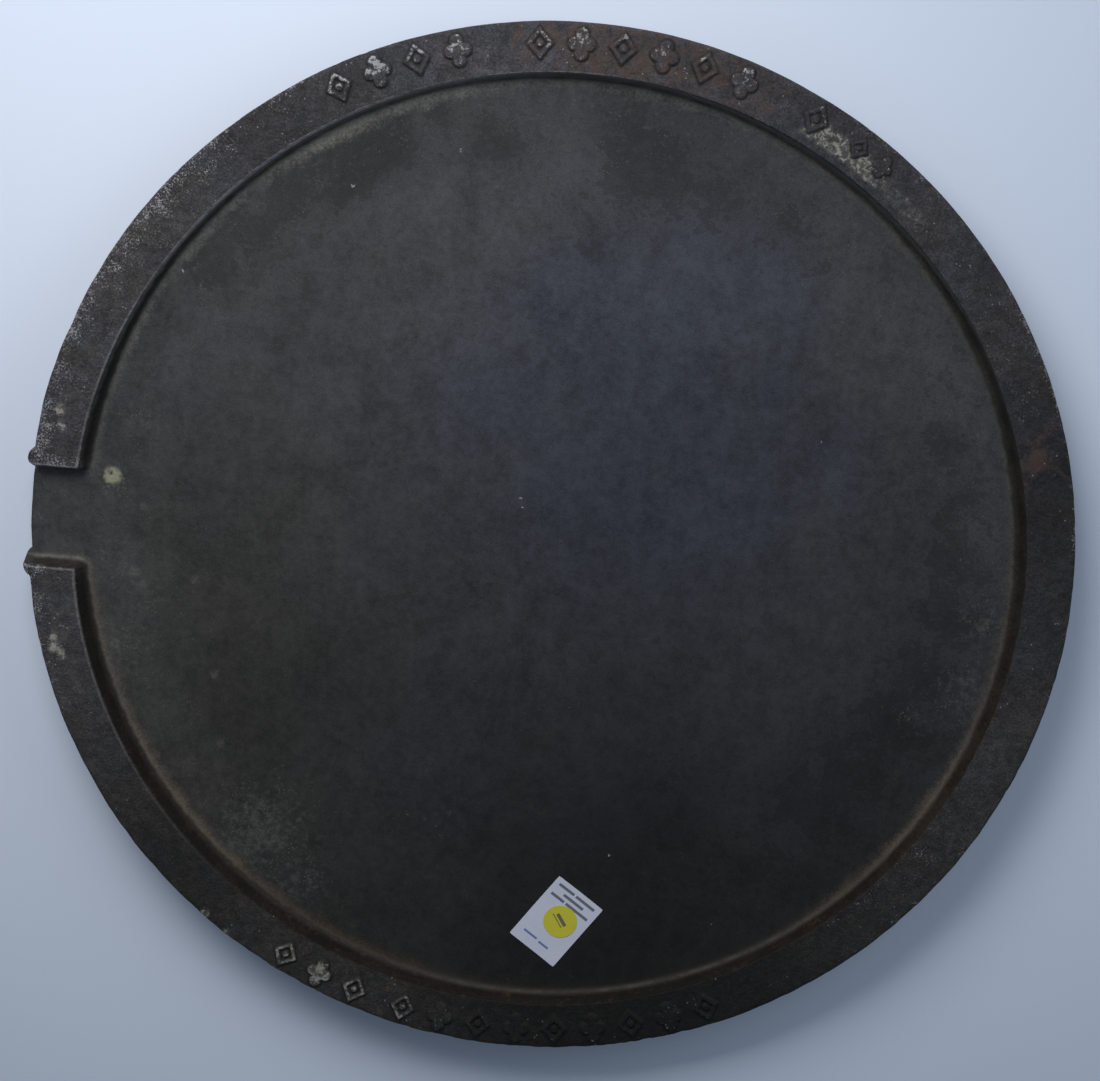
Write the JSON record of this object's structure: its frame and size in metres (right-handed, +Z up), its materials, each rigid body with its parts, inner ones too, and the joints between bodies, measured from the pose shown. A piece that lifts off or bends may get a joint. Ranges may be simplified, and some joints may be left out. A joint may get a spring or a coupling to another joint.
{
  "type": "manhole cover",
  "caption": "Round cast-iron access cover with a smooth dished floor, a raised rim with tread marks, one notch through the rim, and a paper lot label stuck on the floor.",
  "frame": {"origin": "under the middle of the cover, in the plane of the lowest faces of its skirt, ribs and hub, which it stands on when it is laid flat", "axes": "+Z up out of the tread side, -X from the middle to the notch in the rim, and +Y 90 degrees anticlockwise from +X seen from above; the lot label is near the rim on the -Y side"},
  "size_m": [0.5737, 0.5716, 0.0401],
  "materials": {
    "iron": "matte",
    "label_paper": "matte",
    "dot_paper": "matte"
  },
  "bodies": {
    "root": {"cover_casting": "iron", "lot_label": "label_paper", "lot_dot": "dot_paper"}
  },
  "joints": []
}
